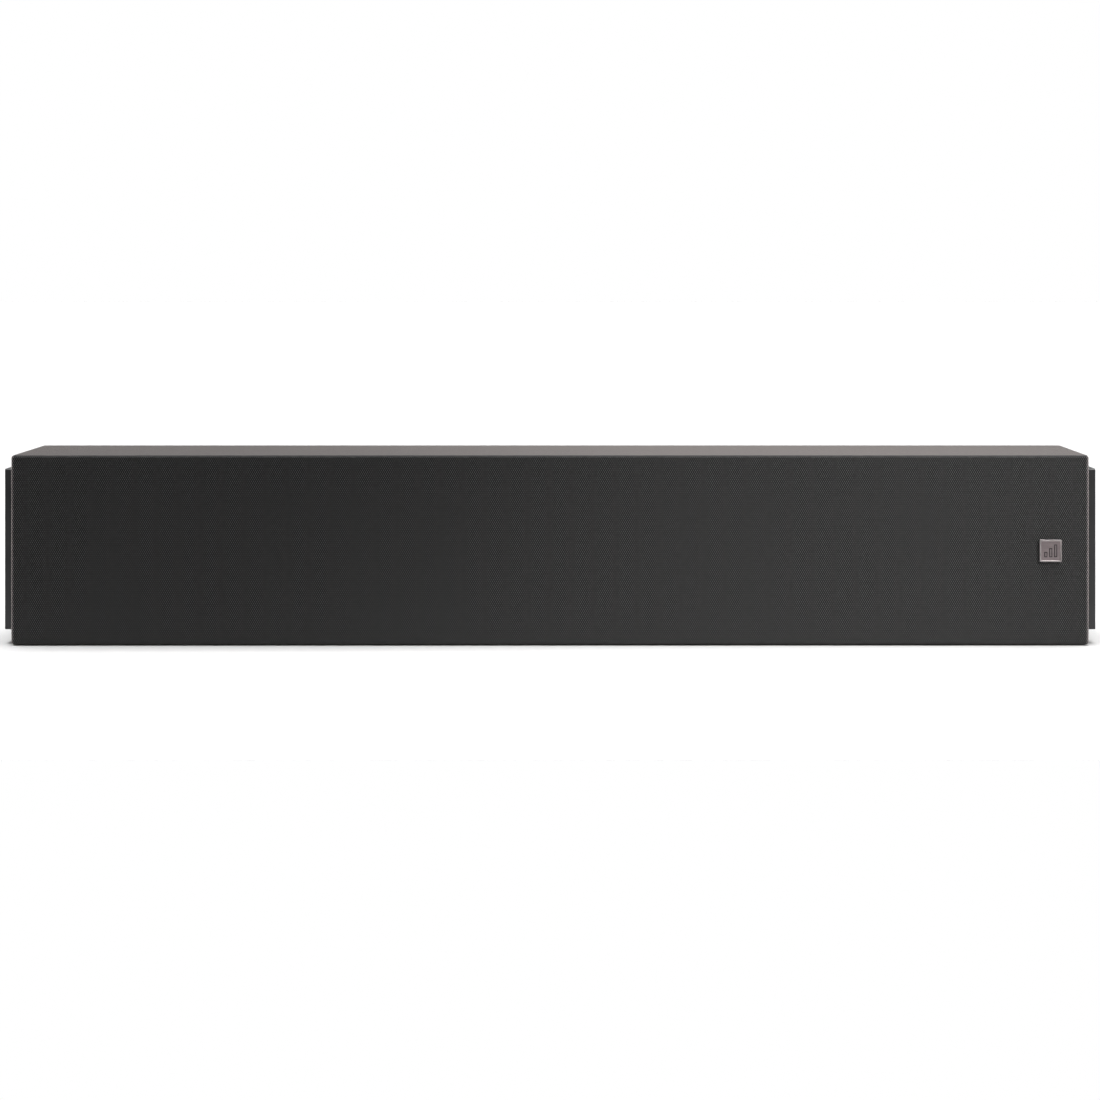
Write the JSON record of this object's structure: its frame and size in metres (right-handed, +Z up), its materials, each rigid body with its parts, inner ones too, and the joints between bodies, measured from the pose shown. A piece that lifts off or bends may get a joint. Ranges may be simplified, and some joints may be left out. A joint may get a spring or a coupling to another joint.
{
  "type": "soundbar",
  "caption": "Fabric-wrapped soundbar with flat front, plastic end caps, square front badge, rear socket bay and wall hangers, and drivers, boards and buttons inside.",
  "frame": {"origin": "on the surface the bar stands on, under the middle of the bar", "axes": "+X to the right as the listener sees the bar, +Y from the front to the back, +Z up"},
  "size_m": [0.829, 0.1178, 0.144],
  "materials": {
    "grille_cloth": "knitted charcoal loudspeaker cloth",
    "end_cap_black": "black, satin",
    "case_black": "black, fine texture",
    "frame_black": "black, moulded",
    "baffle_black": "black, glass-filled",
    "badge_metal": "brushed, with a polished rim",
    "foot_rubber": "black",
    "gasket_foam": "black closed-cell foam",
    "plate_steel": "zinc plated",
    "sink_aluminium": "extruded, black anodised",
    "basket_steel": "pressed steel, black paint",
    "motor_steel": "steel plates around a ferrite ring",
    "cone_paper": "coated paper",
    "surround_rubber": "black half-roll",
    "spider_cloth": "resin-dipped cloth",
    "dome_metal": "bare",
    "tweeter_plate": "black, satin",
    "circuit_board": "green solder mask with its components",
    "transformer_core": "ferrite core and winding",
    "socket_black": "black",
    "socket_metal": "plated shell",
    "button_black": "dark grey"
  },
  "bodies": {
    "cabinet": {"grille_cloth": "grille_cloth", "grille_frame": "frame_black", "front_badge": "badge_metal", "front_baffle": "baffle_black", "enclosure_shell": "case_black", "left_end_cap": "end_cap_black", "right_end_cap": "end_cap_black", "rear_cover": "case_black", "rear_gasket": "gasket_foam", "rear_heat_sink": "sink_aluminium", "left_wall_hanger": "plate_steel", "right_wall_hanger": "plate_steel", "connection_tray": "case_black", "front_left_foot": "foot_rubber", "front_right_foot": "foot_rubber", "rear_left_foot": "foot_rubber", "rear_right_foot": "foot_rubber", "amplifier_board": "circuit_board", "power_board": "circuit_board", "power_transformer": "transformer_core", "control_board": "circuit_board", "mains_inlet": "socket_black", "av_socket": "socket_metal", "service_socket": "socket_metal", "network_socket": "socket_metal", "sub_out_jack": "socket_metal", "left_woofer_basket": "basket_steel", "left_woofer_motor": "motor_steel", "left_woofer_surround": "surround_rubber", "left_woofer_spider": "spider_cloth", "centre_left_woofer_basket": "basket_steel", "centre_left_woofer_motor": "motor_steel", "centre_left_woofer_surround": "surround_rubber", "centre_left_woofer_spider": "spider_cloth", "centre_right_woofer_basket": "basket_steel", "centre_right_woofer_motor": "motor_steel", "centre_right_woofer_surround": "surround_rubber", "centre_right_woofer_spider": "spider_cloth", "right_woofer_basket": "basket_steel", "right_woofer_motor": "motor_steel", "right_woofer_surround": "surround_rubber", "right_woofer_spider": "spider_cloth", "left_tweeter_faceplate": "tweeter_plate", "left_tweeter_motor": "motor_steel", "centre_tweeter_faceplate": "tweeter_plate", "centre_tweeter_motor": "motor_steel", "right_tweeter_faceplate": "tweeter_plate", "right_tweeter_motor": "motor_steel"},
    "left_woofer_cone": {"left_woofer_cone": "cone_paper"},
    "centre_left_woofer_cone": {"centre_left_woofer_cone": "cone_paper"},
    "centre_right_woofer_cone": {"centre_right_woofer_cone": "cone_paper"},
    "right_woofer_cone": {"right_woofer_cone": "cone_paper"},
    "left_tweeter_dome": {"left_tweeter_dome": "dome_metal"},
    "centre_tweeter_dome": {"centre_tweeter_dome": "dome_metal"},
    "right_tweeter_dome": {"right_tweeter_dome": "dome_metal"},
    "source_button": {"source_button": "button_black"},
    "volume_down_button": {"volume_down_button": "button_black"},
    "volume_up_button": {"volume_up_button": "button_black"},
    "power_button": {"power_button": "button_black"}
  },
  "joints": [
    {"name": "left_woofer_stroke", "type": "slide", "parent": "cabinet", "child": "left_woofer_cone", "axis": [0, -1, 0], "range_m": [-0.004, 0.004], "stiffness_N_per_m": 800, "deforming": ["left_woofer_surround", "left_woofer_spider"]},
    {"name": "centre_left_woofer_stroke", "type": "slide", "parent": "cabinet", "child": "centre_left_woofer_cone", "axis": [0, -1, 0], "range_m": [-0.004, 0.004], "stiffness_N_per_m": 800, "deforming": ["centre_left_woofer_surround", "centre_left_woofer_spider"]},
    {"name": "centre_right_woofer_stroke", "type": "slide", "parent": "cabinet", "child": "centre_right_woofer_cone", "axis": [0, -1, 0], "range_m": [-0.004, 0.004], "stiffness_N_per_m": 800, "deforming": ["centre_right_woofer_surround", "centre_right_woofer_spider"]},
    {"name": "right_woofer_stroke", "type": "slide", "parent": "cabinet", "child": "right_woofer_cone", "axis": [0, -1, 0], "range_m": [-0.004, 0.004], "stiffness_N_per_m": 800, "deforming": ["right_woofer_surround", "right_woofer_spider"]},
    {"name": "left_tweeter_stroke", "type": "slide", "parent": "cabinet", "child": "left_tweeter_dome", "axis": [0, -1, 0], "range_m": [-0.0003, 0.0003], "stiffness_N_per_m": 900},
    {"name": "centre_tweeter_stroke", "type": "slide", "parent": "cabinet", "child": "centre_tweeter_dome", "axis": [0, -1, 0], "range_m": [-0.0003, 0.0003], "stiffness_N_per_m": 900},
    {"name": "right_tweeter_stroke", "type": "slide", "parent": "cabinet", "child": "right_tweeter_dome", "axis": [0, -1, 0], "range_m": [-0.0003, 0.0003], "stiffness_N_per_m": 900},
    {"name": "source_press", "type": "slide", "parent": "cabinet", "child": "source_button", "axis": [0, -1, 0], "range_m": [0, 0.0008], "stiffness_N_per_m": 900, "springref_m": -0.0002},
    {"name": "volume_down_press", "type": "slide", "parent": "cabinet", "child": "volume_down_button", "axis": [0, -1, 0], "range_m": [0, 0.0008], "stiffness_N_per_m": 900, "springref_m": -0.0002},
    {"name": "volume_up_press", "type": "slide", "parent": "cabinet", "child": "volume_up_button", "axis": [0, -1, 0], "range_m": [0, 0.0008], "stiffness_N_per_m": 900, "springref_m": -0.0002},
    {"name": "power_press", "type": "slide", "parent": "cabinet", "child": "power_button", "axis": [0, -1, 0], "range_m": [0, 0.0008], "stiffness_N_per_m": 900, "springref_m": -0.0002}
  ]
}
